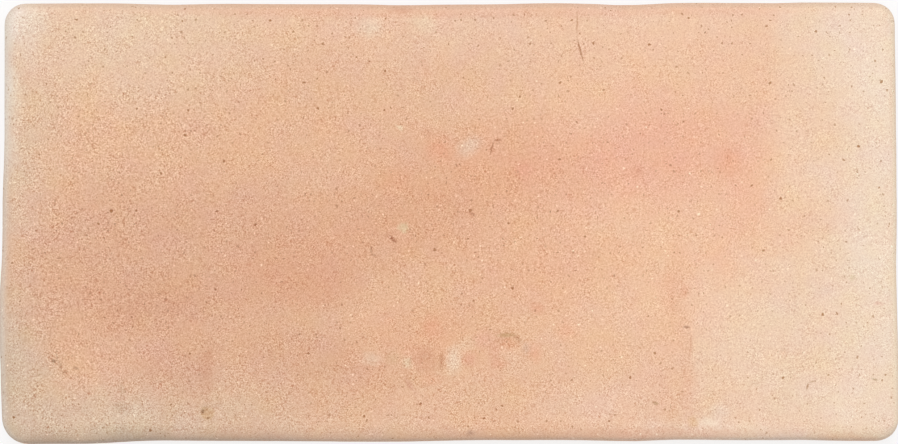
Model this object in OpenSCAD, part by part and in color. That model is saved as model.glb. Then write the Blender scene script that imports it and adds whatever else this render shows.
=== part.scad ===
// Hand-made terracotta floor tile: one slab of fired clay, lying on its bedding face.
// Its edges wander as they left the mould, each arris is sponged soft to a width of its
// own, the sides swell a little and the walking face dips towards its middle.
//
// Millimetres. X runs along the length, Y across the width and Z up. The origin is the
// middle of the bedding face. Front is -Y, back is +Y, left is -X and right is +X.

/* [Tile] */
// Length over the two ends
tile_l = 295; // [220:1:400]
// Width over the front and back sides
tile_w = 145; // [100:0.5:200]
// Thickness at the rim of the face
tile_t = 20; // [14:0.5:40]

/* [Corners] */
// Radius in plan where the front side meets the left end
corner_front_left = 9; // [6:0.5:20]
// Radius in plan where the front side meets the right end
corner_front_right = 7.5; // [6:0.5:20]
// Radius in plan where the back side meets the right end
corner_back_right = 7; // [6:0.5:20]
// Radius in plan where the back side meets the left end
corner_back_left = 7; // [6:0.5:20]

/* [Arris] */
// Width of the rounding along the front side, seen from above
arris_front = 4; // [1:0.1:5]
// Width of the rounding along the right end
arris_right = 2.6; // [1:0.1:5]
// Width of the rounding along the back side
arris_back = 3; // [1:0.1:5]
// Width of the rounding along the left end
arris_left = 4.6; // [1:0.1:5]
// How far the sponged width varies along a side, either way
arris_waver = 0.3; // [0:0.1:0.5]
// How far the rounding runs down the sides
arris_drop = 4.5; // [1:0.5:8]
// Width of the small rounding round the bedding face
foot_w = 1.2; // [0.4:0.1:3]
// Height of the small rounding round the bedding face
foot_h = 1.6; // [0.4:0.1:3]

/* [Hand-made shape] */
// Share of the edge wander that is used, where 0 makes every side straight
edge_wander = 1; // [0:0.1:1.5]
// How far the sides swell past the foot and the arris
side_swell = 0.4; // [0:0.1:1]
// How far the middle of the face lies below its rim
face_dip = 0.4; // [0:0.05:1]
// Height of the long waves in the face
face_wave = 0.25; // [0:0.05:0.5]

/* [Smoothness] */
// Steps along the front and the back side
steps_side = 46; // [20:2:80]
// Steps along each end
steps_end = 22; // [10:2:40]
// Steps round each corner
steps_corner = 8; // [4:1:16]
// Steps over the arris
steps_arris = 7; // [3:1:12]
// Steps from the arris to the middle of the face
steps_face = 6; // [3:1:12]

/* [Hidden] */

// How far each edge stands in from the straight, as [share of the side, millimetres],
// going round anticlockwise as seen from above. Each list comes down to 0 once, so the
// tile keeps its length and its width.
wander_front = [
    [0, 0], [0.06, 0.1], [0.15, 1.15], [0.2, 1.15], [0.3, 0.9], [0.41, 0.8], [0.56, 1.35],
    [0.64, 1.35], [0.71, 1], [0.77, 1.4], [0.86, 1.3], [0.91, 1.4], [0.95, 1.1], [1, 1.1],
];
wander_right = [
    [0, 0], [0.09, 0], [0.4, 0.75], [0.5, 0.55], [0.85, 0.95], [1, 1.2],
];
wander_back = [
    [0, 0.1], [0.08, 0], [0.12, 0.2], [0.2, 0.1], [0.24, 0.2], [0.28, 0.9], [0.3, 0.9],
    [0.34, 0.3], [0.38, 0.2], [0.44, 0.55], [0.55, 0.85], [0.62, 0.6], [0.76, 0.5],
    [0.83, 0.65], [0.91, 0.3], [1, 0.4],
];
wander_left = [
    [0, 1.65], [0.25, 1.6], [0.5, 1.05], [0.56, 0.95], [0.71, 0.05], [0.79, 0], [0.9, 0.45],
    [1, 0.8],
];

half_l = tile_l / 2;
half_w = tile_w / 2;
// The rings of the face close in on a ridge along X, this far either way of the middle
ridge = half_l - half_w;
// Height at which the sides are widest
widest = (foot_h + tile_t - arris_drop) / 2;
stations = 2 * (steps_side + steps_end) + 4 * steps_corner;
// Number of the station where the front side begins
front_start = steps_end / 2 + steps_corner;

// 0 to 1 with level ends
function ease(s) = s * s * (3 - 2 * s);

// Inset at share s of a side, eased from one knot of its list to the next
function wander(knots, s) = edge_wander * [
    for (k = [1:len(knots) - 1])
        let (from = knots[k - 1], to = knots[k])
            if (s >= from[0] && (s < to[0] || k == len(knots) - 1))
                from[1] + (to[1] - from[1]) * ease(min(1, (s - from[0]) / (to[0] - from[0])))
][0];

// Rounding width at share s between widths a and b, with the waver of the sponge
function arris(a, b, s, turns) = a + (b - a) * ease(s) + arris_waver * sin(360 * turns * s);

// Height of the face over [x, y]: a shallow dish with long slanting waves
function face_z(x, y) =
    let (u = x / half_l, v = y / half_w)
    tile_t - face_dip * (1 - u * u) * (1 - v * v)
        - face_wave * (0.5 + 0.25 * sin(250 * u + 70 * v) + 0.25 * sin(110 * u - 160 * v + 40));

// The plan is a list of stations, each [x, y, arris width].
// One side runs from start to end, and stands in from that line by its wander
function side_run(start, end, knots, width, turns, shares) =
    let (way = (end - start) / norm(end - start), inward = [-way[1], way[0]])
    [
        for (s = shares)
            let (
                inset = wander(knots, s) - wander(knots, 0) * (1 - s) - wander(knots, 1) * s,
                p = start + (end - start) * s + inward * inset
            )
            [p[0], p[1], arris(width, width, s, turns)]
    ];

// One corner turns a quarter round its centre, from one side's arris to the next one's
function corner_run(centre, radius, from_angle, a, b) = [
    for (j = [0:steps_corner])
        let (s = j / steps_corner, angle = from_angle + 90 * s)
        [centre[0] + radius * cos(angle), centre[1] + radius * sin(angle), arris(a, b, s, 0)]
];

// Corner centres, each set in by its radius and by the wander of the two sides it joins
function corner_centre(sx, sy, radius, inset_x, inset_y) =
    [sx * (half_l - radius - inset_x), sy * (half_w - radius - inset_y)];

centre_fl = corner_centre(-1, -1, corner_front_left, wander(wander_left, 1), wander(wander_front, 0));
centre_fr = corner_centre(1, -1, corner_front_right, wander(wander_right, 0), wander(wander_front, 1));
centre_br = corner_centre(1, 1, corner_back_right, wander(wander_right, 1), wander(wander_back, 0));
centre_bl = corner_centre(-1, 1, corner_back_left, wander(wander_left, 0), wander(wander_back, 1));

side_shares = [for (j = [1:steps_side - 1]) j / steps_side];
end_shares = [for (j = [1:steps_end - 1]) j / steps_end];
left_start = centre_bl - [corner_back_left, 0];
left_end = centre_fl - [corner_front_left, 0];

// Anticlockwise from the middle of the left end, which is split between first and last
plan = concat(
    side_run(left_start, left_end, wander_left, arris_left, 2, [for (s = end_shares) if (s >= 0.5) s]),
    corner_run(centre_fl, corner_front_left, 180, arris_left, arris_front),
    side_run(
        centre_fl - [0, corner_front_left], centre_fr - [0, corner_front_right],
        wander_front, arris_front, 3, side_shares
    ),
    corner_run(centre_fr, corner_front_right, 270, arris_front, arris_right),
    side_run(
        centre_fr + [corner_front_right, 0], centre_br + [corner_back_right, 0],
        wander_right, arris_right, 1, end_shares
    ),
    corner_run(centre_br, corner_back_right, 0, arris_right, arris_back),
    side_run(
        centre_br + [0, corner_back_right], centre_bl + [0, corner_back_left],
        wander_back, arris_back, 4, side_shares
    ),
    corner_run(centre_bl, corner_back_left, 90, arris_back, arris_left),
    side_run(left_start, left_end, wander_left, arris_left, 2, [for (s = end_shares) if (s < 0.5) s])
);

// Unit direction from station i straight into the tile
function inward(i) =
    let (
        way = plan[(i + 1) % stations] - plan[(i + stations - 1) % stations],
        run = norm([way[0], way[1]])
    )
    [-way[1], way[0]] / run;

// Extra inset at height z, which leaves the side widest at its middle
function swell(z) = side_swell * pow((z - widest) / (tile_t - widest), 2);

// Section through the edge, as [inset, height], from under the bed up to a face at
// height top. It starts under the bed, so that the bed planes it off in one plane.
function edge_section(width, top) =
    let (spring = top - arris_drop)
    concat(
        [[2 * foot_w, -0.3 * foot_h]],
        [for (a = [60, 30, 0]) [foot_w * (1 - cos(a)), foot_h * (1 - sin(a))]],
        [for (s = [1, 2]) [0, foot_h + (spring - foot_h) * s / 3]],
        [
            for (j = [0:steps_arris])
                let (a = 90 * j / steps_arris)
                [width * (1 - cos(a)), spring + arris_drop * sin(a)]
        ]
    );

// Number along the ridge of the point that station i heads for. Stations that face each
// other across the tile share one, and all those of an end share that end of the ridge.
function ridge_no(i) =
    let (s = i % stations)
    max(0, min(steps_side, min(s, stations - s) - front_start));

function ridge_xy(j) = [ridge * (2 * j / steps_side - 1), 0];

// One line of points from under the foot, up the side, over the arris and towards the ridge
function station_line(i) =
    let (
        foot = [plan[i][0], plan[i][1]],
        into = inward(i),
        rim = foot + into * (plan[i][2] + swell(tile_t)),
        to = ridge_xy(ridge_no(i))
    )
    concat(
        [
            for (p = edge_section(plan[i][2], face_z(rim[0], rim[1])))
                let (q = foot + into * (p[0] + swell(p[1])))
                [q[0], q[1], p[1]]
        ],
        [
            for (j = [1:steps_face - 1])
                let (q = rim + (to - rim) * pow(j / steps_face, 1.4))
                [q[0], q[1], face_z(q[0], q[1])]
        ]
    );

lines = [for (i = [0:stations - 1]) station_line(i)];
rings = len(lines[0]);
face_ridge = rings * stations;
bed_ridge = face_ridge + steps_side + 1;

// Vertex number of station i on ring k, where ring 0 is the lowest
function at(i, k) = k * stations + i % stations;

// Triangles from ring k to the ridge whose first vertex is given, as seen from above
function roof(k, first) = [
    for (i = [0:stations - 1])
        let (here = first + ridge_no(i), next = first + ridge_no(i + 1))
            each [
                [at(i, k), next, at(i + 1, k)],
                if (here != next) [at(i, k), here, next],
            ]
];

function turned(faces) = [for (f = faces) [f[2], f[1], f[0]]];

// The slab before its bed is planed: rings lofted from under the foot up to the face
module raw_slab() {
    ridge_points = [for (j = [0:steps_side]) ridge_xy(j)];
    polyhedron(
        points = concat(
            [for (k = [0:rings - 1]) for (i = [0:stations - 1]) lines[i][k]],
            [for (p = ridge_points) [p[0], p[1], face_z(p[0], p[1])]],
            [for (p = ridge_points) [p[0], p[1], lines[0][0][2]]]
        ),
        faces = concat(
            turned(roof(0, bed_ridge)),
            [
                for (k = [0:rings - 2]) for (i = [0:stations - 1])
                    each [
                        [at(i, k), at(i, k + 1), at(i + 1, k + 1)],
                        [at(i, k), at(i + 1, k + 1), at(i + 1, k)],
                    ]
            ],
            roof(rings - 1, face_ridge)
        ),
        convexity = 4
    );
}

// The tile, planed flat on its bedding face
module tile() {
    color("#e3b796")
    difference() {
        raw_slab();
        translate([-tile_l, -tile_w, -2 * foot_h]) cube([2 * tile_l, 2 * tile_w, 2 * foot_h]);
    }
}

tile();
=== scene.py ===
"""A hand-made terracotta tile, lying face up on a white floor.

The clay is one piece. It takes its form from the CAD node: a grid over the block round the
tile is drawn onto the node's surface and eased, and then the relief that the mould, the sand
and the kiln leave is pressed into it. Lengths and places are in millimetres, from the middle
of the bedding face, and MM turns them to metres.
"""

import math
import random

import bpy
import numpy as np
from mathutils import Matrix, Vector, noise
from mathutils.bvhtree import BVHTree

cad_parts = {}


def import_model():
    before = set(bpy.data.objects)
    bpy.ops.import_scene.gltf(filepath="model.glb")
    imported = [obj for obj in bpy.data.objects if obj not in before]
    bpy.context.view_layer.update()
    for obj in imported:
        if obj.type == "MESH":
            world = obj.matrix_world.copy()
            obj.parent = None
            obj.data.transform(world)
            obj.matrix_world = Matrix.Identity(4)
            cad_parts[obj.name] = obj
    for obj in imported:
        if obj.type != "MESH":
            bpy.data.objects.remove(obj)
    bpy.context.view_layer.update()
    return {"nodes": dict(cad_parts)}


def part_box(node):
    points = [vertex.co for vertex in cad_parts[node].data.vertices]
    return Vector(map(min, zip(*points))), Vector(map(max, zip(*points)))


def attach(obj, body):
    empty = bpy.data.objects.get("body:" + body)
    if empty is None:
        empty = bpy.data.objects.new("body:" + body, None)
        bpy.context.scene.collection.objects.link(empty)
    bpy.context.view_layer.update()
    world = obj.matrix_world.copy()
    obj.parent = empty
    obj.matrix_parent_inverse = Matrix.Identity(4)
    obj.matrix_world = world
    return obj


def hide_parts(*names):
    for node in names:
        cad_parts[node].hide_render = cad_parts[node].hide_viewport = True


MM = 0.001

# The camera looks straight down on the tile: how high it is, how far back from the middle,
# how far it sees, and what it shows beyond each end at the height where the tile is widest
CAMERA_HEIGHT = 2000
CAMERA_BACK = 0.44
CAMERA_REACH = 100_000
SENSOR_WIDTH = 36
CLEAR_OF_ENDS = 0.2
WIDEST_AT = 8.5
# Strength of the sky, the sun's share of the light on a level face, how high the sun stands
# over the back side and how wide it is
SKY_STRENGTH = 0.785
SUN_SHARE = 0.23
SUN_ELEVATION = math.radians(52)
SUN_SOFTNESS = math.radians(30)
# The floor and how far it lies under the tile. Seen directly, its paint is as pale as
# FLOOR_PAINT, and FLOOR_WHITE of it is plain white. FLOOR_BOUNCE is the share of light that it
# gives back to the tile.
FLOOR_RADIUS = 3000
FLOOR_CORNERS = 96
FLOOR_DROP = 0.2
FLOOR_WHITE = 0.75
FLOOR_PAINT = 0.98
FLOOR_BOUNCE = 0.6

# Grid of the clay: cells along and across, how many of them a cell of the bed spans, the
# heights of the rows up the foot, and the number of rows from there to the face
CELLS_LONG = 368
CELLS_WIDE = 184
BED_STEP = 8
FOOT_ROWS = [0, 0.4, 0.9, 1.6]
SIDE_ROWS = 18
# How far the rim of the bed stands in from the side, how much the CAD's own normal counts in
# finding the way in, and how many times the grid is eased
FOOT_SET_IN = 1.3
NUDGE = 0.1
EASING_PASSES = 3

# Relief of the clay, either way of the CAD surface: wavelength, depth
WAVES = [(34, 0.1), (13, 0.07), (5.5, 0.05), (2.6, 0.05)]
# What one step of a seed moves the noise by
SEED_SHIFT = (17.3, 5.1, 9.7)
# Marks along the sides, from drawing the slab out of its mould: how far below the face they
# start, the height over which they fade at either end, their depth, the distance from one to
# the next, and how much they are drawn out along the sides
DRAG_START = 3
DRAG_FADE = 2
DRAG_MARKS = 0.28
DRAG_PITCH = 3
DRAG_STRETCH = (0.16, 0.16, 1)
# Lip that the sponge left where it ran off the arris: how far inside the outline it crests on
# the front side and on the left end, half its width, its height, and the length over which it
# is worn away and comes back
LIP_IN = (6.4, 5.2)
LIP_HALF = 1.4
LIP_HEIGHT = 0.16
LIP_WEAR = 40
# Hollows that can be told apart on the face: name, x, y, radius, depth and lean
HOLLOWS = [
    ("dent", 19.6, -40, 4.8, 0.6, (0.2, 1)),
    ("lime bloom", 7.9, 25, 3.4, 0.3, (0, 0)),
    ("pale pebble", -14.8, -1.5, 1.8, 0.25, (0, 0)),
    ("stroke by the pale pebble", -19.6, -5, 2.2, 0.3, (-0.7, -0.7)),
    ("pebble at the front", -79.3, -61.7, 2.2, 0.7, (-1, 0)),
    ("red ring", -7.9, -45, 2.6, 0.3, (0, 0)),
    ("pale stroke", 1.5, -44.5, 3, 0.2, (0, 0)),
    ("pit at the front left", -94.7, -52.8, 1.4, 0.4, (0, 0)),
    ("dimple at the back left", -110, 35.6, 2.2, 0.25, (0, 1)),
    ("dark pit", 145, 66, 1.4, 0.5, (0, 0)),
]
# Share of a hollow's radius that its wall takes
HOLLOW_WALL = 0.6
# Small voids, from grit that the strike pulled out and air in the clay: how many, their radii,
# their depths, and the heights of those on the sides. A draw over ON_SIDES puts a void on the
# front or the back side, and one over ON_ENDS puts it on an end.
VOIDS = 110
VOID_RADII = (0.9, 2)
VOID_DEPTHS = (0.15, 0.5)
VOID_HEIGHTS = (2, 16)
ON_SIDES = 0.8
ON_ENDS = 0.7


def linear(hex_colour):
    """A colour written as sRGB hex, as linear red, green, blue and alpha."""
    parts = [int(hex_colour[i : i + 2], 16) / 255 for i in (1, 3, 5)]
    return [c / 12.92 if c <= 0.04045 else ((c + 0.055) / 1.055) ** 2.4 for c in parts] + [1]


def node(tree, kind, inputs, **settings):
    """Adds a node with its settings. An input is a value, or the socket that it is linked from."""
    made = tree.nodes.new("ShaderNode" + kind)
    for name, value in settings.items():
        setattr(made, name, value)
    for name, value in inputs.items():
        if isinstance(value, bpy.types.NodeSocket):
            tree.links.new(value, made.inputs[name])
        else:
            made.inputs[name].default_value = value
    return made


# Sockets of a Mix node that mixes colours
MIX_SHARE, MIX_FROM, MIX_TO, MIXED = 0, 6, 7, 2


def ease(s):
    """0 to 1 with level ends."""
    s = np.clip(s, 0, 1)
    return s * s * (3 - 2 * s)


# ---------------------------------------------------------------- camera, light and floor


def look_down(low, high):
    """Camera straight over the tile, which fills its view from end to end."""
    camera = bpy.data.cameras.new("camera")
    camera.sensor_width = SENSOR_WIDTH
    width = (high.x - low.x) / MM + 2 * CLEAR_OF_ENDS
    camera.lens = SENSOR_WIDTH * (CAMERA_HEIGHT - WIDEST_AT) / width
    camera.clip_end = CAMERA_REACH * MM
    seat = bpy.data.objects.new("camera", camera)
    middle = (low + high) / 2
    seat.location = (middle.x, middle.y + CAMERA_BACK * MM, CAMERA_HEIGHT * MM)
    bpy.context.scene.collection.objects.link(seat)
    bpy.context.scene.camera = seat


def seen_directly(tree):
    """1 for a ray that shows the surface itself, a reflection of it or a view through it."""
    path = node(tree, "LightPath", {})
    direct = node(
        tree,
        "Math",
        {0: path.outputs["Is Camera Ray"], 1: path.outputs["Is Glossy Ray"]},
        operation="MAXIMUM",
    )
    return node(
        tree,
        "Math",
        {0: direct.outputs[0], 1: path.outputs["Is Transmission Ray"]},
        operation="MAXIMUM",
    ).outputs[0]


def light_up():
    """An even white sky, with a small share of soft sun from over the back side."""
    world = bpy.data.worlds.new("sky")
    world.use_nodes = True
    tree = world.node_tree
    tree.nodes.clear()
    sky = node(tree, "Background", {"Color": (1, 1, 1, 1), "Strength": SKY_STRENGTH})
    backdrop = node(tree, "Background", {"Color": (1, 1, 1, 1), "Strength": 1})
    shown = node(
        tree, "MixShader", {0: seen_directly(tree), 1: sky.outputs[0], 2: backdrop.outputs[0]}
    )
    node(tree, "OutputWorld", {"Surface": shown.outputs[0]})
    bpy.context.scene.world = world

    sun = bpy.data.lights.new("sun", "SUN")
    sun.energy = SUN_SHARE * math.pi / math.sin(SUN_ELEVATION)
    sun.angle = SUN_SOFTNESS
    lamp = bpy.data.objects.new("sun", sun)
    toward = Vector((0, math.cos(SUN_ELEVATION), math.sin(SUN_ELEVATION)))
    lamp.rotation_euler = toward.to_track_quat("Z", "Y").to_euler()
    bpy.context.scene.collection.objects.link(lamp)


def painted_floor():
    """Matt white paint, rolled flat: it shows white, and keeps a faint shadow of the tile."""
    paint = bpy.data.materials.new("matt_white_paint")
    paint.use_nodes = True
    tree = paint.node_tree
    tree.nodes.clear()
    direct = seen_directly(tree)
    tone = node(
        tree, "MapRange", {"Value": direct, "To Min": FLOOR_BOUNCE, "To Max": FLOOR_PAINT}
    )
    matt = node(tree, "BsdfDiffuse", {"Color": tone.outputs[0]})
    white = node(tree, "Emission", {"Color": (1, 1, 1, 1), "Strength": 1})
    share = node(tree, "Math", {0: direct, 1: FLOOR_WHITE}, operation="MULTIPLY")
    rolled = node(
        tree, "MixShader", {0: share.outputs[0], 1: matt.outputs[0], 2: white.outputs[0]}
    )
    node(tree, "OutputMaterial", {"Surface": rolled.outputs[0]})
    return paint


def lay_floor():
    rim = [
        (FLOOR_RADIUS * MM * math.cos(a), FLOOR_RADIUS * MM * math.sin(a), -FLOOR_DROP * MM)
        for a in (math.tau * i / FLOOR_CORNERS for i in range(FLOOR_CORNERS))
    ]
    mesh = bpy.data.meshes.new("floor")
    mesh.from_pydata(rim, [], [range(FLOOR_CORNERS)])
    mesh.materials.append(painted_floor())
    floor = bpy.data.objects.new("floor", mesh)
    bpy.context.scene.collection.objects.link(floor)


# ---------------------------------------------------------------- the form of the clay


def block_grid():
    """Points, faces and texture places of a grid over a block: fine on the face and the
    sides, and coarse on the bed. A point is [cell along, cell across, row]."""
    rows = len(FOOT_ROWS) - 1 + SIDE_ROWS
    number = {}
    points = []
    faces = []
    places = []

    def at(i, j, k):
        if (i, j, k) not in number:
            number[i, j, k] = len(points)
            points.append((i, j, k))
        return number[i, j, k]

    def add_face(corners, texture):
        faces.append([at(*c) for c in corners])
        places.extend(texture)

    # The texture is a square: the face over its upper half, then the front, the back and the
    # two ends as strips, and the bed below them.
    edge = 0.002
    face_w = 1 - 2 * edge
    face_h = face_w * CELLS_WIDE / CELLS_LONG
    face_low = 1 - edge - face_h
    strip_h = 0.072
    strip_gap = 0.006
    bed_w = 0.53
    bed_h = bed_w * CELLS_WIDE / CELLS_LONG

    for i in range(CELLS_LONG):
        for j in range(CELLS_WIDE):
            corners = [(i, j), (i + 1, j), (i + 1, j + 1), (i, j + 1)]
            add_face(
                [(a, b, rows) for a, b in corners],
                [
                    (edge + face_w * a / CELLS_LONG, face_low + face_h * b / CELLS_WIDE)
                    for a, b in corners
                ],
            )

    front = [(i, 0) for i in range(CELLS_LONG + 1)]
    right = [(CELLS_LONG, j) for j in range(CELLS_WIDE + 1)]
    back = [(i, CELLS_WIDE) for i in range(CELLS_LONG, -1, -1)]
    left = [(0, j) for j in range(CELLS_WIDE, -1, -1)]
    half_w = face_w / 2 - strip_gap
    strips = [
        (front, 1, edge, face_w),
        (back, 2, edge, face_w),
        (right, 3, edge, half_w),
        (left, 3, 0.5 + strip_gap, half_w),
    ]
    for line, shelf, start, length in strips:
        base = face_low - shelf * (strip_h + strip_gap)
        steps = len(line) - 1
        for s in range(steps):
            for k in range(rows):
                corners = [(s, k), (s + 1, k), (s + 1, k + 1), (s, k + 1)]
                add_face(
                    [(*line[a], b) for a, b in corners],
                    [(start + length * a / steps, base + strip_h * b / rows) for a, b in corners],
                )

    # A cell of the bed that lies along its rim also takes the fine points there
    for i in range(0, CELLS_LONG, BED_STEP):
        for j in range(0, CELLS_WIDE, BED_STEP):
            last_i, last_j = i + BED_STEP, j + BED_STEP
            across = range(j, last_j) if i == 0 else [j]
            along = range(last_i, i, -1) if last_j == CELLS_WIDE else [last_i]
            down = range(last_j, j, -1) if last_i == CELLS_LONG else [last_j]
            along_front = range(last_i, i, -1) if j == 0 else [last_i]
            corners = [(i, b) for b in across]
            corners += [(a, last_j) for a in reversed([*along, i])][:-1]
            corners += [(last_i, b) for b in down]
            corners += [(a, j) for a in along_front]
            add_face(
                [(a, b, 0) for a, b in corners],
                [
                    (edge + bed_w * a / CELLS_LONG, edge + bed_h * b / CELLS_WIDE)
                    for a, b in corners
                ],
            )
    return np.array(points), faces, places


def draw_onto(cad, points, inside_bed, low, high):
    """The grid's points moved onto the CAD surface, in metres."""
    body = cad.data
    tree = BVHTree.FromPolygons([v.co for v in body.vertices], [p.vertices for p in body.polygons])
    top = (high.z - low.z) / MM
    side_rows = np.linspace(FOOT_ROWS[-1], top, SIDE_ROWS + 1)
    heights = np.concatenate([FOOT_ROWS, side_rows[1:]]) * MM
    spread = np.column_stack(
        [
            low.x + (high.x - low.x) * points[:, 0] / CELLS_LONG,
            low.y + (high.y - low.y) * points[:, 1] / CELLS_WIDE,
            low.z + heights[points[:, 2]],
        ]
    )
    drawn = np.empty_like(spread)
    for n, place in enumerate(spread):
        if inside_bed[n]:
            drawn[n] = place
        elif points[n, 2] == 0:
            foot = Vector((place[0], place[1], low.z + FOOT_ROWS[-1] * MM))
            spot, normal, _, _ = tree.find_nearest(foot)
            # From the CAD to the point, which turns evenly where two of the facets meet
            outward = foot - spot + NUDGE * MM * normal
            rim = spot - FOOT_SET_IN * MM * Vector((outward.x, outward.y, 0)).normalized()
            drawn[n] = (rim.x, rim.y, low.z)
        else:
            drawn[n] = tree.find_nearest(Vector(place))[0]
    return drawn


def eased(co, mesh, row, inside_bed):
    """The points eased towards their neighbours, which takes the CAD's facets out.

    The rows of the foot are eased only along themselves, and the bed inside them stays.
    """
    edges = np.empty(len(mesh.edges) * 2, int)
    mesh.edges.foreach_get("vertices", edges)
    edges = edges.reshape(-1, 2)
    # Each edge pulls one of its points towards the other, both ways round
    to, by = np.concatenate([edges, edges[:, ::-1]]).T
    along_foot = (row[to] == row[by]) & ~inside_bed[by]
    pulled = ~inside_bed[to] & ((row[to] >= len(FOOT_ROWS)) | along_foot)
    to, by = to[pulled], by[pulled]
    count = np.bincount(to, minlength=len(co))[:, None]
    for _ in range(EASING_PASSES):
        total = np.zeros_like(co)
        np.add.at(total, to, co[by])
        co = np.where(count > 0, (co + total / np.maximum(count, 1)) / 2, co)
    return co


def waves(co, wavelength, seed):
    """Smooth noise of about -0.5 to 0.5 over the points, which are in millimetres."""
    shift = Vector([seed * step for step in SEED_SHIFT])
    return np.array([noise.noise(Vector(p) / wavelength + shift) for p in co]) * 0.5


def bowl(co, centre, radius, depth, lean=(0, 0)):
    """Depth of a hollow with a steep wall on the side that it leans to."""
    away = co - np.array(centre)
    reach = np.linalg.norm(away, axis=1) / radius
    slant = 0.5 + 0.5 * (away[:, 0] * lean[0] + away[:, 1] * lean[1]) / radius
    steepness = np.clip(slant * 2 if any(lean) else 1, 0, 2)
    return depth * ease((1 - reach) / HOLLOW_WALL) * steepness


def relief(co, top):
    """How deep the skin is pressed in at each point, in millimetres."""
    depth = sum(
        amount * waves(co, wavelength, seed + 1)
        for seed, (wavelength, amount) in enumerate(WAVES)
    )
    on_side = ease((top - DRAG_START - co[:, 2]) / DRAG_FADE) * ease(co[:, 2] / DRAG_FADE)
    depth += DRAG_MARKS * on_side * waves(co * DRAG_STRETCH, DRAG_PITCH, seed=11)
    # The lip along the front side and the left end
    low = co.min(axis=0)
    worn = ease(1 + 2 * waves(co, LIP_WEAR, seed=9))
    for axis, inside in ((1, LIP_IN[0]), (0, LIP_IN[1])):
        crest = (co[:, axis] - low[axis] - inside) / LIP_HALF
        depth -= LIP_HEIGHT * worn * np.exp(-crest * crest) * (co[:, 2] > top - DRAG_START)
    for _, x, y, radius, deep, lean in HOLLOWS:
        depth += bowl(co, (x, y, top), radius, deep, lean)
    draw = random.Random(5)
    reach = np.abs(co).max(axis=0)
    for _ in range(VOIDS):
        side = draw.random()
        x = draw.uniform(-1, 1) * reach[0]
        y = draw.uniform(-1, 1) * reach[1]
        z = top
        if side > ON_SIDES:
            y = math.copysign(reach[1], y)
            z = draw.uniform(*VOID_HEIGHTS)
        elif side > ON_ENDS:
            x = math.copysign(reach[0], x)
            z = draw.uniform(*VOID_HEIGHTS)
        depth += bowl(co, (x, y, z), draw.uniform(*VOID_RADII), draw.uniform(*VOID_DEPTHS))
    return depth


def clay_slab(cad, low, high):
    """The visible tile: the eased grid, with its relief pressed in and kept inside the CAD box."""
    points, faces, places = block_grid()
    cell_x, cell_y, row = points.T
    on_bed = row == 0
    inside_bed = on_bed & (cell_x % CELLS_LONG > 0) & (cell_y % CELLS_WIDE > 0)
    co = draw_onto(cad, points, inside_bed, low, high)
    mesh = bpy.data.meshes.new("clay_slab")
    mesh.from_pydata(co.tolist(), [], faces)
    texture = mesh.uv_layers.new(name="OFBake")
    texture.data.foreach_set("uv", np.array(places, np.float32).ravel())

    co = eased(co, mesh, row, inside_bed)
    mesh.vertices.foreach_set("co", co.astype(np.float32).ravel())
    mesh.update()
    normals = np.empty(len(co) * 3, np.float32)
    mesh.vertices.foreach_get("normal", normals)
    normals = normals.reshape(-1, 3).astype(float)

    # How far the skin has turned from the face: 0 on it, 1 on a side and 2 under the tile
    turned = mesh.attributes.new("turned", "FLOAT", "POINT")
    turned.data.foreach_set("value", np.where(on_bed, 2, 1 - normals[:, 2]).astype(np.float32))

    depth = relief(co / MM, (high.z - low.z) / MM) * MM
    depth = np.where(on_bed, 0, depth)
    pressed = co - normals * depth[:, None]
    pressed = np.clip(pressed, np.array(low), np.array(high))
    mesh.vertices.foreach_set("co", pressed.astype(np.float32).ravel())
    mesh.polygons.foreach_set("use_smooth", np.ones(len(faces), bool))
    mesh.update()
    slab = bpy.data.objects.new("clay_slab", mesh)
    bpy.context.scene.collection.objects.link(slab)
    return slab


# ---------------------------------------------------------------- the finish of the clay

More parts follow.
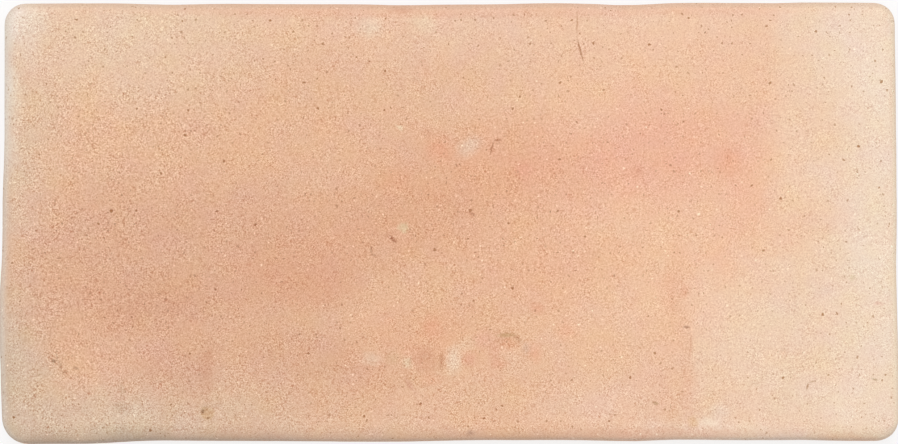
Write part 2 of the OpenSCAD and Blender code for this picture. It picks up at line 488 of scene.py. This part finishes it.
# Fired colour of the clay, and broad areas of colour over it, most of them where the kiln turned
# the
# clay: name, middle, half sizes, turn in degrees, share of it that is level, colour and strength
FIRED_CLAY = "#e5b999"
KILN_AREAS = [
    # With the grey areas at the front left, this makes the clay paler towards the right and darker
    # towards the front left: partly the clay's own tone, partly painted light and shade
    ("bright right half", (85, 20), (92, 110), 0, 0.3, "#f0c4a4", 0.8),
    ("pale strip along the back", (35, 78), (190, 34), 0, 0.2, "#f0ccb3", 0.55),
    ("sandy back left", (-105, 66), (66, 42), 0, 0.1, "#e9d0b6", 0.6),
    ("pale back left corner", (-153, 72), (34, 33), 0, 0.2, "#f3e8dc", 0.85),
    ("grey left end", (-152, 22), (34, 72), 0, 0.1, "#dbc3ab", 0.7),
    ("hot band on the left", (-90, -14), (90, 46), 6, 0.3, "#daaa8d", 0.82),
    ("hot band in the middle", (-15, 4), (72, 30), 20, 0.1, "#dea988", 0.82),
    ("warm middle", (30, -12), (50, 26), 0, 0.1, "#e6ae8c", 0.5),
    ("rusty core on the left", (-96, -25), (30, 15), 0, 0, "#d59f7f", 0.5),
    ("rusty core in the middle", (-50, -18), (32, 20), 0, 0, "#dba17f", 0.6),
    ("brown front left", (-48, -46), (50, 20), 0, 0.1, "#d9a98b", 0.8),
    ("pink blush", (66, 23), (50, 28), 4, 0.15, "#eaad95", 0.66),
    ("tail of the blush", (25, 18), (46, 24), 0, 0, "#e6ab8b", 0.6),
    ("peach by the blush", (98, 4), (22, 44), 0, 0.1, "#eeb99b", 0.6),
    ("peach by the stack's edge", (89, -25), (22, 24), 0, 0, "#f1b994", 0.6),
    ("rusty streak", (76, -25), (8, 22), 0, 0, "#e4a682", 0.35),
    ("orange round the dent", (-4, -36), (38, 22), 0, 0, "#e3a984", 0.5),
    ("peach on the left", (-56, 25), (84, 24), 0, 0.1, "#e3b291", 0.5),
    # This and the next: greyer and darker towards the front left, partly painted shade
    ("grey foot on the left", (-100, -74), (92, 32), 0, 0.2, "#d2b8a0", 0.8),
    ("grey lower left end", (-150, -50), (32, 45), 0, 0.2, "#cdbba6", 0.7),
    ("smear under the pebble", (-91, -48), (26, 16), 0, 0, "#d2a088", 0.55),
    ("grey foot in the middle", (-32, -80), (56, 24), 0, 0.1, "#dbb8a0", 0.6),
    ("cream front right", (122, -42), (54, 50), 0, 0.3, "#efd3b8", 0.8),
    ("cream back right corner", (135, 66), (34, 40), 0, 0.1, "#efdcc8", 0.6),
    ("cream right end", (155, 0), (42, 130), 0, 0.3, "#f1dfca", 0.88),
    ("cream at the back right", (140, 50), (24, 30), 0, 0, "#f6e8d8", 0.65),
    ("cream at the front right", (128, -58), (20, 12), 0, 0, "#f5e6d6", 0.4),
    ("peach on the right end", (143, -4), (10, 20), 0, 0, "#f1d1b6", 0.4),
    ("pale left arris", (-150, 48), (13, 44), 0, 0.3, "#efe3d4", 0.85),
    # Painted shade along the front left arris, over greyer clay, and at its corner
    ("grey clay and painted shade at the front left", (-92, -76), (84, 11), 0, 0.3, "#ab9a88", 0.42),
    ("grey clay and painted shade at the front left corner", (-132, -69), (13, 6), 0, 0, "#b59d86", 0.35),
    ("pale foot on the left", (-112, -66), (20, 9), 0, 0, "#dec4aa", 0.55),
    ("pale foot on the right", (85, -78), (80, 15), 0, 0.3, "#efd8c6", 0.65),
    ("pale foot in the middle", (52, -60), (34, 14), 0, 0, "#f0cdb8", 0.4),
    ("brown foot on the left", (-66, -67), (26, 9), 0, 0, "#d3a88e", 0.35),
    ("peach foot on the right", (62, -74), (40, 8), 0, 0.3, "#efc5a8", 0.55),
    # Paler clay, and painted light, on the front arris at the right
    ("worn foot with painted light on the right", (104, -75), (42, 11), 0, 0.4, "#f6dcc6", 0.8),
    ("rusty front right corner", (131, -71), (22, 5), 0, 0.2, "#e4ae8a", 0.6),
]
# Edges of the tiles that were stacked on it in the kiln. It is paler past x, from y to y: name,
# x, the two y, width over which it turns, colour and strength.
STACK_EDGES = [
    ("back half", 107, 0, 90, 12, "#f0d2b8", 0.5),
    ("front half", 78, -90, -16, 12, "#edccb0", 0.35),
]
# How far either way of its ends such an edge fades
STACK_EDGE_FADE = 7
# Blots of a few millimetres: name, middle, half sizes, turn, level share, colour, strength
BLOTS = [
    ("red spot in the blush", (91.2, 20), (7, 8), 0, 0, "#e5a07c", 0.42),
    ("small red spot", (61.8, 17), (3.6, 3.2), 0, 0, "#d6957a", 0.4),
    ("orange by the bloom", (-3, 24), (7.5, 6.5), 0, 0, "#e8a281", 0.5),
    ("pink by the arc", (24.5, 17.5), (5, 5), 0, 0, "#e6a08d", 0.4),
    ("orange over the pebble", (-17.4, 12.8), (8, 7), 0, 0, "#e5a482", 0.35),
    ("pale nick", (-16.2, 31.4), (2, 0.9), -35, 0, "#f2dcbc", 0.6),
    ("lime bloom", (6.9, 25.2), (7, 4.6), 38, 0, "#e8d0bb", 0.5),
    ("pale pebble", (-14.8, -1.4), (2.6, 2.4), 0, 0.3, "#e0caa4", 0.6),
    ("streak over the pebble", (-79.2, -48), (3.6, 15), 0, 0, "#cb9071", 0.4),
    ("rust along the stack's edge", (78, -50), (3.6, 20), 0, 0, "#dfa384", 0.32),
    ("buff by the lime", (-18.5, -44), (4.5, 4), 0, 0, "#d8b48e", 0.45),
    ("lime by the dent", (-13.6, -45.4), (2.8, 2.8), 0, 0.1, "#e2cdac", 0.5),
    ("red ring", (-7.4, -44.6), (5.8, 6.2), 0, 0.2, "#d29779", 0.46),
    ("middle of the ring", (-7.2, -44.8), (2.8, 3), 0, 0, "#dfae8c", 0.55),
    ("cream left of the lime", (-25.3, -44.4), (5, 3.6), 0, 0, "#e8d2ba", 0.4),
    ("orange under the ring", (-6, -51), (6, 4), 0, 0, "#e2a583", 0.5),
    ("orange over the ring", (-6, -34), (5.5, 6), 0, 0, "#e49f7f", 0.5),
    ("pink streak under the lime", (-12.6, -53), (1.6, 4.6), 35, 0, "#cf9680", 0.5),
    ("cream over the stroke", (5, -40), (8, 4.4), 20, 0, "#ebcdb0", 0.42),
    ("pale stroke", (1.6, -45), (3.8, 7), 0, 0.1, "#ecd4bb", 0.62),
    ("pink right of the stroke", (6.8, -44), (3.6, 4), 0, 0, "#dd9c86", 0.45),
    ("pink by the dent", (11, -38), (5, 5), 0, 0, "#e3a792", 0.4),
    ("left wall of the dent", (15, -41.4), (2.6, 6), 0, 0, "#dd9e82", 0.42),
    ("orange right of the dent", (28.4, -42.6), (3.4, 5), 0, 0, "#e7a684", 0.42),
    ("orange under the dent", (16.5, -46), (4.4, 3), 0, 0, "#e4a284", 0.42),
    ("inside of the dent", (19, -39.4), (5, 3.6), 0, 0.1, "#db9c78", 0.45),
    # Painted light on the front of the dent's floor, which faces the sun
    ("floor of the dent", (20.6, -43), (3.4, 2.6), 0, 0, "#ebc4a6", 0.5),
    ("grey spot", (25.2, -40.8), (2.2, 2.6), 0, 0.1, "#cfae97", 0.42),
    ("red spot over the dent", (28.9, -27.8), (4, 3), 0, 0, "#e09a7c", 0.42),
    ("orange spot over the dent", (38.5, -35), (5.6, 5), 0, 0, "#e9a88a", 0.4),
    ("pale spot at the back", (-25.8, 64), (6.4, 5), 0, 0, "#ebd8c0", 0.5),
    ("pale fleck at the back", (-8, 65.5), (7, 5), -20, 0, "#eed8ba", 0.45),
    ("rust on the back arris", (-15.4, 70), (6, 2), 0, 0, "#cf9474", 0.6),
    ("soot at the front", (7, -68.5), (2.2, 1.6), 0, 0.1, "#ae8470", 0.6),
    # Pinker clay, and painted shade on the back arris where the sun lights it
    ("pinker clay and painted shade along the back", (-2, 69.7), (150, 3.5), 0, 0.4, "#dba186", 0.28),
    ("rust along the front", (70, -68.9), (44, 3), 0, 0.3, "#e6ae8e", 0.34),
    ("buff spot at the front", (80, -65), (2.6, 3.4), 0, 0.1, "#ddb385", 0.6),
    ("pale smear at the front", (84.4, -65), (5, 2.4), -12, 0, "#f7e6d0", 0.45),
    ("pale patch at the front", (88.6, -61.6), (6.5, 4.4), 0, 0, "#eee0d0", 0.3),
    ("rust spot on the streak", (77.2, -22.8), (2.4, 3.2), 0, 0, "#dc9672", 0.4),
    ("olive speck at the right", (132, -17.6), (1.8, 1.8), 0, 0, "#d3bd95", 0.5),
    ("pink fleck at the right", (140.4, -26.4), (2.8, 1.2), 0, 0, "#dba792", 0.5),
    ("pebble", (-79, -62), (2.9, 2.9), 0, 0.5, "#cda57b", 0.6),
    # Painted shade, grey, on the outermost front edge at the left
    ("painted shade on the front left edge", (-102, -73.2), (50, 3), 0, 0.3, "#97908a", 0.4),
    ("pale edge at the front right", (106, -73), (42, 3.2), 0, 0.3, "#e6dcd2", 0.6),
    ("smudge at the front left", (-107.4, -60), (4.6, 2.8), 0, 0, "#bf9f83", 0.5),
    ("tail of the smudge", (-107, -54.5), (1.6, 5), 5, 0, "#c9a98c", 0.4),
    ("pink on the right arris", (145.8, 42), (2.6, 26), 0, 0.2, "#e5c1a8", 0.35),
    ("brown on the lower left arris", (-145.6, -54), (3.4, 15), 0, 0.2, "#c7a98a", 0.45),
]
# Strokes and rims, drawn with a surer edge
STROKES = [
    ("dark stroke", (-2.5, -45.2), (1.2, 4.6), 0, 0.1, "#bb7f5a", 0.62),
    # This and the next: painted shade on the back wall of the dent, which faces away from the sun
    ("rim of the dent", (18.8, -36.6), (4.6, 1.1), 3, 0.1, "#b58a55", 0.6),
    ("right of the rim", (22.6, -37.8), (2.8, 0.9), -38, 0.1, "#bf8b66", 0.5),
    # Painted shadow of the pale pebble, rust-brown, over a small hollow
    ("stroke by the pebble", (-18.4, -5.2), (2.4, 0.9), -38, 0.2, "#a86c4e", 0.75),
    ("hook left of the pebble", (-25.4, -8.8), (0.55, 1.8), 8, 0.2, "#b07c5c", 0.6),
    ("foot of the hook by the pebble", (-24.5, -10.4), (1.5, 0.5), -10, 0.2, "#b07c5c", 0.55),
    ("cup on the streak", (77.6, -34), (1.6, 0.7), 0, 0.2, "#9d6c50", 0.6),
    ("streak down from the cup", (79, -40), (0.5, 6), -3, 0.1, "#cf8f70", 0.5),
    ("fleck left of the streak", (67.5, -58.8), (1.8, 0.7), -16, 0.2, "#ac835a", 0.65),
    ("hair right of the fleck", (72.5, -59.8), (0.35, 1.4), 0, 0.2, "#b0805f", 0.55),
    ("hook at the front right", (117.2, -53.4), (0.5, 1.8), -10, 0.2, "#a87748", 0.65),
    ("top of the hook at the front right", (118.8, -51.8), (1.6, 0.45), 12, 0.2, "#b3865a", 0.55),
    ("nick at the right end", (139.2, -51), (1.7, 0.5), -15, 0.2, "#b39a74", 0.6),
    ("brown grain at the front left", (-129.3, -45), (1.1, 0.8), -20, 0.2, "#8c6546", 0.7),
    ("curl at the front left", (-126.9, -46.8), (0.5, 1.9), 5, 0.2, "#a97a58", 0.6),
    ("foot of the curl", (-125.6, -48.6), (1.5, 0.5), 10, 0.2, "#a97a58", 0.5),
    ("stroke at the left end", (-122, -47.4), (1.5, 0.7), -25, 0.2, "#a8795c", 0.6),
    ("long scratch on the left", (-128, -44.4), (0.45, 4), 12, 0.2, "#b98d70", 0.5),
    ("red nick", (6, -46), (1.8, 0.7), 20, 0.1, "#b9785c", 0.25),
    ("hook", (7.8, 3), (1.6, 0.6), -32, 0.2, "#b07a5a", 0.55),
    ("arc by the bloom", (14, 24.6), (0.5, 3), -14, 0.3, "#b37653", 0.8),
    ("top of the arc", (15.9, 27.2), (1.8, 0.5), 0, 0.3, "#b37653", 0.75),
    # Painted shade in the hole on the pebble's left
    ("hole of the pebble", (-80.6, -61.6), (0.7, 1.2), -12, 0.2, "#8a6442", 0.75),
    ("lower rim of the pebble", (-78.6, -63.6), (1.4, 0.5), 12, 0.2, "#a47a50", 0.55),
    ("crack", (41.9, 65), (0.4, 6.5), 0, 0.2, "#c08a66", 0.6),
    ("foot of the crack", (43, 56.4), (0.45, 5.6), 15.7, 0.3, "#a86f45", 0.7),
    ("dark pit", (145, 66), (0.7, 0.7), 0, 0.4, "#8a604c", 0.8),
]
# Tones on the arrises: the side, the axis across it, where the tone starts and where it is full,
# how far the skin has turned where it starts and where it is full, colour and strength. The left
# end is paler where sponging wore the skin off; the right end is paler clay with painted light;
# the back arris has pinker clay and painted shade where the sun lights it; the steep front arris
# has painted shade, grey.
ARRISES = [
    ("left end", "X", -138, -145, 0, 0.4, "#e9ddd0", 0.5),
    # Paler clay, and painted light on the steep right end
    ("right end", "X", 140, 145, 0, 0.4, "#fae4c8", 0.7),
    # Pinker clay, and painted shade where the sun lights the back arris
    ("back side", "Y", 66, 71, 0, 0.4, "#cfb19a", 0.35),
    # Painted shade, grey, on the steep front arris
    ("front side", "Y", -64, -71, 0.24, 0.7, "#b0a296", 0.42),
]
# How far the skin has turned where those arris tones fade out again, down the side
ARRIS_ENDS = (0.6, 1)
# Drift of the colours over millimetres: how much more red, green and blue the clay gives
# where it leans to pink, and where it leans to rust
LEANS = [(0.009, -0.03, 0.018), (0.016, -0.003, -0.09)]
# Noise patterns, whose scale is one over their size in millimetres
KILN_DRIFT = {"Scale": 1 / 32, "Detail": 4, "Roughness": 0.6}
CLOUDS = {"Scale": 1 / 9, "Detail": 1, "Roughness": 0.5}
NIBBLE = {"Scale": 1 / 1.8, "Detail": 2, "Roughness": 0.6}
SANDY_PATCHES = {"Scale": 1 / 6, "Detail": 2, "Roughness": 0.5}
ROUGH_SKIN = {"Scale": 1 / 1.1, "Detail": 3, "Roughness": 0.7}
DRAG_STREAKS = {"Scale": 1 / 1.5, "Detail": 4, "Roughness": 0.7}
# How far, along, across and up, the noise moves what is drawn: the kiln areas and the edges of
# stacked tiles by the drift, blots and strokes by the nibble, and grit by the rough skin
AREA_DRIFT = (11, 11, 0)
STACK_DRIFT = (4, 15, 0)
BLOT_NIBBLE = (1.2, 1.2, 0)
STROKE_NIBBLE = (0.4, 0.4, 0)
GRIT_BEND = (0.8, 0.8, 0.8)
# What the mould's walls and its sanded floor leave: how far the skin has turned where it
# starts and where it is full, colour and strength
DRAGGED_SIDES = (0.75, 1, "#dba888", 0.6)
SANDED_BED = (1.2, 1.8, "#d8b296", 0.7)
# Fine moulding sand is about 0.1 mm, too fine to show, so it is drawn as coarse as it needs to
# be: grains of 0.2 mm, over packed ones 0.43 mm apart, and how dark the gaps between those are
SAND_SIZE = 0.2
GRAIN_PITCH = 0.43
GAP_DARKNESS = 1.1
# Contrast of the sand, from its calmest patches to its strongest, and the span of the noise
# that goes from one to the other
SAND_CONTRAST = (0.28, 0.54)
PATCH_SPAN = (0.35, 0.65)
# How much of the sand the left end and the right end took, and where they are
SAND_AT_ENDS = (1, 0.58)
ENDS_AT = (-147, 147)
# How much of that the back side took, and the span over which it thins towards there
SAND_AT_BACK = 0.84
BACK_SPAN = (30, 60)
# How much sand the sponge left on the arrises, and how far the skin has turned there
SAND_LEFT_ON_ARRISES = 0.5
SPONGED_FROM = 0.1
# The sand's own colour is the clay's, made paler by this gamma and then tinted
SAND_GAMMA = 0.58
SAND_TINT = (0.84, 1.2, 1.24)
# How far the sand stands out, the depth of the skin's roughness of 0.3 to 1 mm, and that of
# the marks which run along the sides where the clay was dragged out of the mould
SAND_STANDS_OUT = 0.014
SKIN_ROUGHNESS = 0.06
DRAG_DEPTH = 0.35
# How much those marks are drawn out, and how far the skin has turned where they start and
# where they are full
STREAK_STRETCH = (0.3, 0.3, 1)
STREAK_SPAN = (0.4, 1)
# Fired clay without a glaze is all but matt
CLAY_ROUGHNESS = 0.92
CLAY_IOR = 1.45
# Grit in the clay: how a grain's colour is laid over the clay's, and that colour
BROWN_GRIT = ("MULTIPLY", "#a77c3c")
# The pale grit's colour, also painted as a highlight round the rims of the brown pits
PALE_GRIT_AND_HIGHLIGHT = ("ADD", "#a3998e")
# Its layers: spacing, share of the cells that hold a grain, largest radius, colour,
# strength and strength of the rim, where a pale highlight is painted round the brown pits
GRIT = [
    (0.5, 0.5, 0.26, PALE_GRIT_AND_HIGHLIGHT, 0.24, 0),
    (1.5, 0.42, 0.43, PALE_GRIT_AND_HIGHLIGHT, 0.86, 0),
    (1.2, 0.5, 0.4, BROWN_GRIT, 0.8, 0.15),
    (1.9, 0.58, 0.49, BROWN_GRIT, 0.95, 0.15),
    (4.2, 0.72, 0.6, BROWN_GRIT, 1, 0.2),
]
# Strength of the faintest grain, width over which a grain's edge turns, and width of its rim,
# where the highlight is painted
FAINTEST_GRAIN = 0.3
GRAIN_EDGE = 0.14
GRAIN_RIM = 0.35


def soft_spots(tree, place, colour, spots):
    """Lays oval areas of colour over the clay, one after another."""
    for _, middle, half, turn, level, paint, strength in spots:
        local = node(
            tree,
            "Mapping",
            {
                "Vector": place,
                "Location": (*middle, 0),
                "Rotation": (0, 0, math.radians(turn)),
                "Scale": (*half, 1),
            },
            vector_type="TEXTURE",
        )
        nearness = node(
            tree, "TexGradient", {"Vector": local.outputs[0]}, gradient_type="SPHERICAL"
        )
        share = node(
            tree,
            "MapRange",
            {"Value": nearness.outputs[1], "From Max": 1 - level, "To Max": strength},
            interpolation_type="SMOOTHSTEP",
        )
        colour = node(
            tree,
            "Mix",
            {MIX_SHARE: share.outputs[0], MIX_FROM: colour, MIX_TO: linear(paint)},
            data_type="RGBA",
        ).outputs[MIXED]
    return colour


def shifted(tree, place, noise_colour, reach):
    """A place moved by up to reach either way, so that what is drawn there has ragged edges."""
    off = node(
        tree,
        "VectorMath",
        {0: noise_colour, 1: [2 * r for r in reach], 2: [-r for r in reach]},
        operation="MULTIPLY_ADD",
    )
    return node(tree, "VectorMath", {0: place, 1: off.outputs[0]}, operation="ADD").outputs[0]


def stack_edges(tree, place, colour):
    """The straight pale edges that the tiles stacked above left in the kiln."""
    axes = node(tree, "SeparateXYZ", {0: place})
    for _, x, front, back, softness, paint, strength in STACK_EDGES:
        share = None
        for axis, start, end in [
            ("X", x - softness / 2, x + softness / 2),
            ("Y", front - STACK_EDGE_FADE, front + STACK_EDGE_FADE),
            ("Y", back + STACK_EDGE_FADE, back - STACK_EDGE_FADE),
        ]:
            past = node(
                tree,
                "MapRange",
                {"Value": axes.outputs[axis], "From Min": start, "From Max": end},
                interpolation_type="SMOOTHSTEP",
            ).outputs[0]
            by = share or strength
            share = node(tree, "Math", {0: past, 1: by}, operation="MULTIPLY").outputs[0]
        colour = node(
            tree,
            "Mix",
            {MIX_SHARE: share, MIX_FROM: colour, MIX_TO: linear(paint)},
            data_type="RGBA",
        ).outputs[MIXED]
    return colour


def grit(tree, place, spacing, share_of_cells, radius):
    """How far inside a grain's edge a place is, in millimetres, and how strong that grain is.

    Grains of up to the radius lie in some cells of the spacing.
    """
    cells = node(tree, "TexVoronoi", {"Vector": place, "Scale": 1 / spacing})
    draw = node(tree, "SeparateColor", {0: cells.outputs["Color"]})
    size = node(
        tree,
        "MapRange",
        {"Value": draw.outputs[1], "From Min": 1 - share_of_cells, "To Max": radius},
        clamp=False,
    )
    inside = node(
        tree,
        "Math",
        {0: cells.outputs["Distance"], 1: -spacing, 2: size.outputs[0]},
        operation="MULTIPLY_ADD",
    )
    strong = node(tree, "MapRange", {"Value": draw.outputs[2], "To Min": FAINTEST_GRAIN})
    return inside.outputs[0], strong.outputs[0]


def kiln_colours(tree, place, plan):
    """The fired clay with its areas, the edges of stacked tiles and clouds of 2 to 20 mm."""
    drift = node(tree, "TexNoise", {"Vector": place, **KILN_DRIFT}).outputs["Color"]
    fired = node(tree, "RGB", {})
    fired.outputs[0].default_value = linear(FIRED_CLAY)
    areas = shifted(tree, plan, drift, AREA_DRIFT)
    colour = soft_spots(tree, areas, fired.outputs[0], KILN_AREAS)
    colour = stack_edges(tree, shifted(tree, plan, drift, STACK_DRIFT), colour)

    clouds = node(tree, "TexNoise", {"Vector": place, **CLOUDS})
    cloud = node(tree, "SeparateColor", {0: clouds.outputs["Color"]})
    for channel, lean in enumerate(LEANS):
        amount = node(tree, "MapRange", {"Value": cloud.outputs[channel], "To Min": -1})
        leaning = node(
            tree,
            "VectorMath",
            {0: amount.outputs[0], 1: lean, 2: (1, 1, 1)},
            operation="MULTIPLY_ADD",
        )
        colour = node(
            tree, "VectorMath", {0: colour, 1: leaning.outputs[0]}, operation="MULTIPLY"
        ).outputs[0]
    return colour


def blots_and_strokes(tree, place, plan, colour):
    """The marks that can be told apart, with nibbled edges."""
    nibble = node(tree, "TexNoise", {"Vector": place, **NIBBLE}).outputs["Color"]
    colour = soft_spots(tree, shifted(tree, plan, nibble, BLOT_NIBBLE), colour, BLOTS)
    return soft_spots(tree, shifted(tree, plan, nibble, STROKE_NIBBLE), colour, STROKES)


def arris_wear_light_and_shade(tree, axes, turned, colour):
    """Tones on the arrises: paler clay where sponging wore them, with painted light on the right
    end and painted shade on the back and the front arrises.
    """
    over_arris = node(
        tree,
        "MapRange",
        {
            "Value": turned,
            "From Min": ARRIS_ENDS[0],
            "From Max": ARRIS_ENDS[1],
            "To Min": 1,
            "To Max": 0,
        },
    )
    for _, axis, start, full, first_turn, full_turn, paint, strength in ARRISES:
        arris_band = node(
            tree,
            "MapRange",
            {
                "Value": turned,
                "From Min": first_turn,
                "From Max": full_turn,
                "To Max": over_arris.outputs[0],
            },
            interpolation_type="SMOOTHSTEP",
        )
        beside = node(
            tree,
            "MapRange",
            {
                "Value": axes.outputs[axis],
                "From Min": start,
                "From Max": full,
                "To Max": strength,
            },
        )
        share = node(
            tree, "Math", {0: arris_band.outputs[0], 1: beside.outputs[0]}, operation="MULTIPLY"
        )
        colour = node(
            tree,
            "Mix",
            {MIX_SHARE: share.outputs[0], MIX_FROM: colour, MIX_TO: linear(paint)},
            data_type="RGBA",
        ).outputs[MIXED]
    return colour


def sides_and_bed(tree, turned, colour):
    """The colour that the mould's walls and floor left."""
    for start, full, paint, strength in (DRAGGED_SIDES, SANDED_BED):
        share = node(
            tree,
            "MapRange",
            {"Value": turned, "From Min": start, "From Max": full, "To Max": strength},
        )
        colour = node(
            tree,
            "Mix",
            {MIX_SHARE: share.outputs[0], MIX_FROM: colour, MIX_TO: linear(paint)},
            data_type="RGBA",
        ).outputs[MIXED]
    return colour


def sand_amount(tree, place, axes, turned):
    """How strongly the sand shows: less at the right, at the back and on the arrises."""
    patches = node(tree, "TexNoise", {"Vector": place, **SANDY_PATCHES})
    contrast = node(
        tree,
        "MapRange",
        {
            "Value": patches.outputs[0],
            "From Min": PATCH_SPAN[0],
            "From Max": PATCH_SPAN[1],
            "To Min": SAND_CONTRAST[0],
            "To Max": SAND_CONTRAST[1],
        },
    )
    along_tile = node(
        tree,
        "MapRange",
        {
            "Value": axes.outputs["X"],
            "From Min": ENDS_AT[0],
            "From Max": ENDS_AT[1],
            "To Min": SAND_AT_ENDS[0],
            "To Max": SAND_AT_ENDS[1],
        },
    )
    to_back = node(
        tree,
        "MapRange",
        {
            "Value": axes.outputs["Y"],
            "From Min": BACK_SPAN[0],
            "From Max": BACK_SPAN[1],
            "To Min": 1,
            "To Max": SAND_AT_BACK,
        },
    )
    taken = node(
        tree, "Math", {0: along_tile.outputs[0], 1: to_back.outputs[0]}, operation="MULTIPLY"
    )
    left = node(
        tree,
        "MapRange",
        {
            "Value": turned,
            "From Max": SPONGED_FROM,
            "To Min": taken.outputs[0],
            "To Max": SAND_LEFT_ON_ARRISES,
        },
        interpolation_type="SMOOTHSTEP",
    )
    return left.outputs[0], contrast.outputs[0]


def sanded(tree, place, axes, turned, grain, colour):
    """Every grain of sand a little lighter or darker than the clay, over packed coarse ones."""
    left, contrast = sand_amount(tree, place, axes, turned)
    lighter = node(tree, "Math", {0: grain, 1: 0.5}, operation="SUBTRACT")
    packed = node(tree, "TexVoronoi", {"Vector": place, "Scale": 1 / GRAIN_PITCH})
    crest = node(
        tree,
        "Math",
        {0: packed.outputs["Distance"], 1: -GAP_DARKNESS, 2: 0.5 * GAP_DARKNESS},
        operation="MULTIPLY_ADD",
    )
    speckle = node(tree, "Math", {0: lighter.outputs[0], 1: crest.outputs[0]}, operation="ADD")
    thinned = node(tree, "Math", {0: speckle.outputs[0], 1: left}, operation="MULTIPLY")
    amount = node(tree, "Math", {0: thinned.outputs[0], 1: contrast}, operation="MULTIPLY")
    paler = node(tree, "Gamma", {"Color": colour, "Gamma": SAND_GAMMA})
    own = node(tree, "VectorMath", {0: paler.outputs[0], 1: SAND_TINT}, operation="MULTIPLY")
    tint = node(
        tree, "VectorMath", {0: own.outputs[0], "Scale": amount.outputs[0]}, operation="SCALE"
    )
    return node(tree, "VectorMath", {0: colour, 1: tint.outputs[0]}, operation="ADD").outputs[0]


def gritted(tree, place, rough, colour):
    """Grit of 0.2 to 1.2 mm: pale grains, and brown ones in pits with a painted highlight round
    the rim.
    """
    bent = shifted(tree, place, rough.outputs["Color"], GRIT_BEND)
    for spacing, cells, radius, paint, strength, rim in GRIT:
        inside, strong = grit(tree, bent, spacing, cells, radius)
        # First the painted highlight round the grain's rim, then the grain
        for start, full, (blend, tone), share in (
            (-GRAIN_RIM, 0, PALE_GRIT_AND_HIGHLIGHT, rim),
            (0, GRAIN_EDGE, paint, strength),
        ):
            near = node(
                tree,
                "MapRange",
                {"Value": inside, "From Min": start, "From Max": full, "To Max": share},
            )
            by = node(tree, "Math", {0: near.outputs[0], 1: strong}, operation="MULTIPLY")
            colour = node(
                tree,
                "Mix",
                {MIX_SHARE: by.outputs[0], MIX_FROM: colour, MIX_TO: linear(tone)},
                data_type="RGBA",
                blend_type=blend,
                clamp_result=True,
            ).outputs[MIXED]
    return colour


def skin_relief(tree, place, turned, grain, rough):
    """Sand that stands out of the skin, its roughness, and the marks dragged along the sides."""
    sandy = node(tree, "Bump", {"Height": grain, "Distance": SAND_STANDS_OUT * MM})
    pitted = node(
        tree,
        "Bump",
        {
            "Height": rough.outputs[0],
            "Distance": SKIN_ROUGHNESS * MM,
            "Normal": sandy.outputs[0],
        },
    )
    along = node(tree, "VectorMath", {0: place, 1: STREAK_STRETCH}, operation="MULTIPLY")
    streaks = node(tree, "TexNoise", {"Vector": along.outputs[0], **DRAG_STREAKS})
    on_side = node(
        tree,
        "MapRange",
        {"Value": turned, "From Min": STREAK_SPAN[0], "From Max": STREAK_SPAN[1]},
    )
    dragged = node(
        tree,
        "Bump",
        {
            "Strength": on_side.outputs[0],
            "Height": streaks.outputs[0],
            "Distance": DRAG_DEPTH * MM,
            "Normal": pitted.outputs[0],
        },
    )
    return dragged.outputs[0]


def unglazed_terracotta():
    """Terracotta, struck off with sand in a mould and fired without a glaze.

    It gives the eye a dry, matt, salmon to cream skin: fine sand all over it, brown and pale
    grit with a painted highlight round the brown, broad areas where the kiln turned the clay,
    smoother paler clay where sponging wore the arrises, and painted light and shade on the
    arrises, towards the front left and round some marks.
    """
    clay = bpy.data.materials.new("unglazed_terracotta")
    clay.use_nodes = True
    tree = clay.node_tree
    tree.nodes.clear()
    spot = node(tree, "TexCoord", {})
    place = node(
        tree, "VectorMath", {0: spot.outputs["Object"], "Scale": 1 / MM}, operation="SCALE"
    ).outputs[0]
    plan = node(tree, "VectorMath", {0: place, 1: (1, 1, 0)}, operation="MULTIPLY").outputs[0]
    axes = node(tree, "SeparateXYZ", {0: plan})
    turned = node(tree, "Attribute", {}, attribute_name="turned").outputs["Fac"]
    sand = node(tree, "TexVoronoi", {"Vector": place, "Scale": 1 / SAND_SIZE})
    grain = node(tree, "SeparateColor", {0: sand.outputs["Color"]}).outputs[0]
    rough = node(tree, "TexNoise", {"Vector": place, **ROUGH_SKIN})

    colour = kiln_colours(tree, place, plan)
    colour = blots_and_strokes(tree, place, plan, colour)
    colour = arris_wear_light_and_shade(tree, axes, turned, colour)
    colour = sides_and_bed(tree, turned, colour)
    colour = sanded(tree, place, axes, turned, grain, colour)
    colour = gritted(tree, place, rough, colour)
    skin = node(
        tree,
        "BsdfPrincipled",
        {
            "Base Color": colour,
            "Roughness": CLAY_ROUGHNESS,
            "IOR": CLAY_IOR,
            "Normal": skin_relief(tree, place, turned, grain, rough),
        },
    )
    node(tree, "OutputMaterial", {"Surface": skin.outputs[0]})
    return clay


def main():
    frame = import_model()
    low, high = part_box("tile")
    look_down(low, high)
    light_up()
    lay_floor()
    slab = clay_slab(frame["nodes"]["tile"], low, high)
    slab.data.materials.append(unglazed_terracotta())
    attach(slab, "root")
    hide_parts("tile")
    bpy.context.scene.view_settings.view_transform = "Standard"


main()
